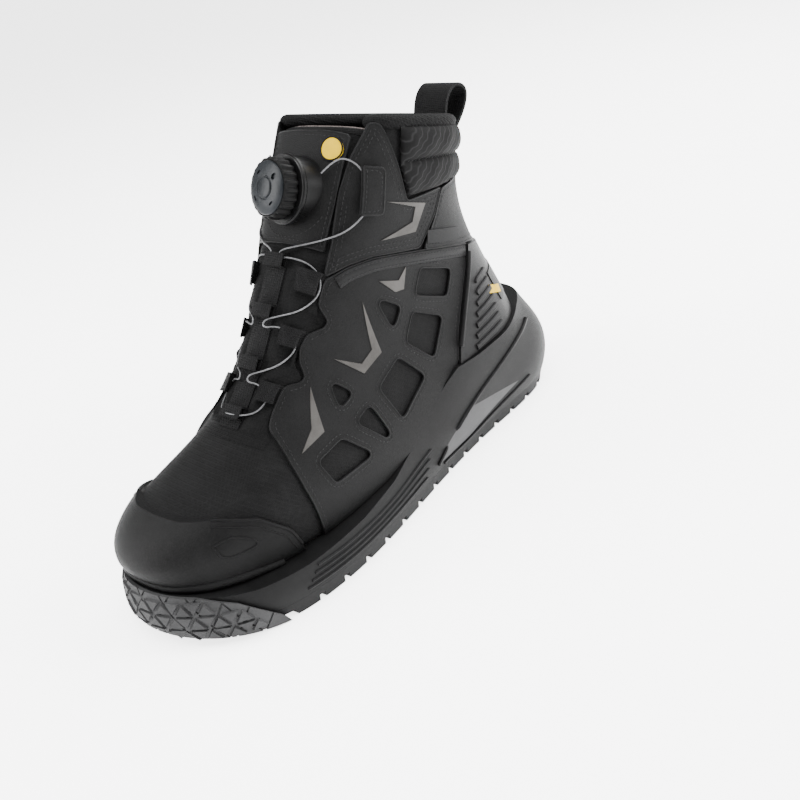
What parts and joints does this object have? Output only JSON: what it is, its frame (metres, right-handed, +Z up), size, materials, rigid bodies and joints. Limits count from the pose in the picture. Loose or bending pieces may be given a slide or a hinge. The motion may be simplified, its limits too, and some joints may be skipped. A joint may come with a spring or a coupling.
{
  "type": "steel toe work boot",
  "caption": "Left safety boot with a ridged sole, windowed quarters over woven cloth, a steel toe cap inside, and a dial that winds a wire lace.",
  "frame": {"origin": "on the ground, on the lowest face of the tread, under the middle of the boot", "axes": "+Z up, toe towards -Y, outer side of the foot towards +X"},
  "size_m": [0.1115, 0.3144, 0.2097],
  "materials": {
    "rubber_black": "matt moulded rubber",
    "rubber_grey": "matt light grey rubber",
    "foam_black": "matt moulded foam with fine ridges",
    "facet_grey": "satin grey facet",
    "bumper_black": "pebbled rubber",
    "leather_charcoal": "matt microfibre leather",
    "cloth_black": "woven ripstop",
    "webbing_black": "ribbed webbing",
    "knit_black": "thick knitted binding",
    "padding_black": "printed padded cloth",
    "reflective_grey": "reflective film",
    "tpu_grey": "ribbed moulding",
    "steel": "pressed steel",
    "plate_steel": "flexible steel sheet",
    "board_brown": "fibre board",
    "lining_grey": "brushed mesh lining",
    "foam_grey": "open foam",
    "footbed_dark": "felted foam",
    "shank_nylon": "filled nylon",
    "dial_dark": "satin",
    "dial_rubber": "ribbed soft rim",
    "dial_face": "satin face",
    "wire_steel": "coated stranded wire",
    "badge_yellow": "printed disc",
    "tag_white": "woven tag",
    "patch_white": "printed patch"
  },
  "bodies": {
    "root": {"outsole": "rubber_black", "toe_wrap": "rubber_grey", "midsole": "foam_black", "insert_lateral": "facet_grey", "insert_medial": "facet_grey", "insert_heel": "facet_grey", "lining_bootie": "lining_grey", "insole_board": "board_brown", "steel_toe_cap": "steel", "heel_stiffener": "shank_nylon", "interlining_foam": "foam_grey", "puncture_plate": "plate_steel", "footbed": "footbed_dark", "shank": "shank_nylon", "vamp": "cloth_black", "side_cloth": "cloth_black", "toe_bumper": "bumper_black", "quarter_lateral": "leather_charcoal", "quarter_medial": "leather_charcoal", "ankle_panel_lateral": "leather_charcoal", "ankle_panel_medial": "leather_charcoal", "lace_patch_lateral": "leather_charcoal", "lace_patch_medial": "leather_charcoal", "reflective_chevrons": "reflective_grey", "backstay": "leather_charcoal", "heel_counter": "tpu_grey", "collar_padding": "padding_black", "collar_binding": "knit_black", "side_tag": "tag_white", "heel_patch": "patch_white", "pull_loop": "webbing_black", "tongue_gusset": "cloth_black", "centre_strap": "webbing_black", "strap_loops": "webbing_black", "lace_guides_lateral": "webbing_black", "lace_guides_medial": "webbing_black", "lace_wire": "wire_steel"},
    "tongue": {"tongue_pad": "cloth_black", "tongue_panel": "leather_charcoal", "tongue_binding": "knit_black", "round_badge": "badge_yellow", "dial_base": "dial_dark", "pawl_spring": "steel"},
    "spool": {"dial_spool": "dial_dark", "dial_screw": "steel"},
    "knob": {"dial_knob": "dial_rubber", "dial_cap": "dial_face"}
  },
  "joints": [
    {"name": "tongue_tilt", "type": "hinge", "parent": "root", "child": "tongue", "pos_m": [0, -0.0132, 0.1551], "axis": [1, 0, 0], "range_deg": [0, 22], "deforming": ["lace_wire"]},
    {"name": "dial_turn", "type": "hinge", "parent": "tongue", "child": "spool", "pos_m": [0.0016, 0.01424, 0.17702], "axis": [-0.0947, -0.9013, 0.4226], "continuous": true},
    {"name": "dial_pull", "type": "slide", "parent": "spool", "child": "knob", "axis": [-0.0947, -0.9013, 0.4226], "range_m": [0, 0.0025]}
  ]
}
